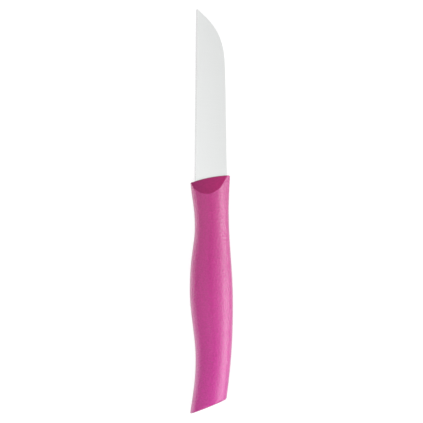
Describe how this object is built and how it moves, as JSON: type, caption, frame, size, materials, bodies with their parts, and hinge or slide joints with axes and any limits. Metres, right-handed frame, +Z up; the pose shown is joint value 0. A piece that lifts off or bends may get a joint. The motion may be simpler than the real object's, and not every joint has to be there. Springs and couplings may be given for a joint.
{
  "type": "vegetable knife",
  "caption": "Small vegetable knife: a straight-edged blade whose spine curves down to the tip, in a plastic handle with a bevelled front, a waist, a finger swell and a slanted butt.",
  "frame": {"origin": "bottom centre of the bounding box, on the surface that the knife lies on", "axes": "+Y from the butt to the tip, -X towards the cutting edge, +X towards the spine, +Z up, square to the side of the blade"},
  "size_m": [0.0206, 0.192, 0.014],
  "materials": {
    "satin_steel": "ground stainless sheet with a fine satin finish and a narrow brighter bevel along the cutting edge",
    "magenta_plastic": "moulded magenta plastic with a fine spark-eroded grain, smoother on the bevelled front"
  },
  "bodies": {
    "root": {"blade": "satin_steel", "handle": "magenta_plastic"}
  },
  "joints": []
}
